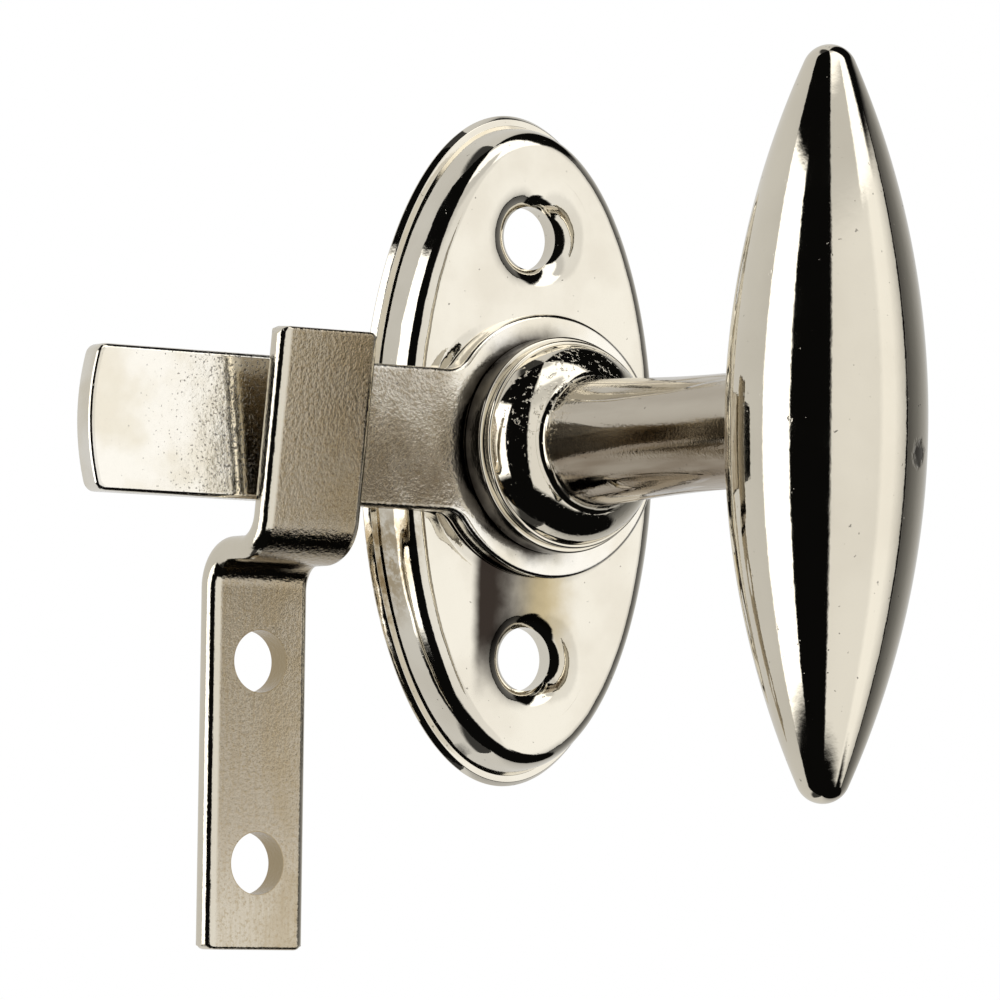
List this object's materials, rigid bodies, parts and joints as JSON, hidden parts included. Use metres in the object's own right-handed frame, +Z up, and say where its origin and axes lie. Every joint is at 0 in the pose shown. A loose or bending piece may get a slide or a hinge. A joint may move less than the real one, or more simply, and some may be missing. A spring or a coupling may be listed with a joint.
{
  "type": "window catch",
  "caption": "Nickel-plated window catch: an olive-shaped handle on a trumpet neck turns a flat tongue in an oval plate, and the tongue swings behind a bent strike hook.",
  "frame": {"origin": "centre of the oval plate, on the plane of its back edge, where it meets the sash", "axes": "+Z up along the olive, -Y out of the plate into the room along the turning axis, -X from the axis towards the strike hook"},
  "size_m": [0.0532, 0.0453, 0.0637],
  "materials": {
    "polished_nickel": "polished nickel plate with a warm cast and fine handling marks",
    "satin_nickel": "tumbled nickel plate over strip, with faint lengthwise grain",
    "spring_steel": "plain spring steel"
  },
  "bodies": {
    "root": {"backplate": "polished_nickel", "spring_washer": "spring_steel", "strike_hook": "satin_nickel"},
    "handle": {"olive_handle": "polished_nickel", "turning_tongue": "satin_nickel", "end_washer": "spring_steel"}
  },
  "joints": [
    {"name": "handle_turn", "type": "hinge", "parent": "root", "child": "handle", "pos_m": [0, 0, 0], "axis": [0, 1, 0], "range_deg": [-3, 315]}
  ]
}
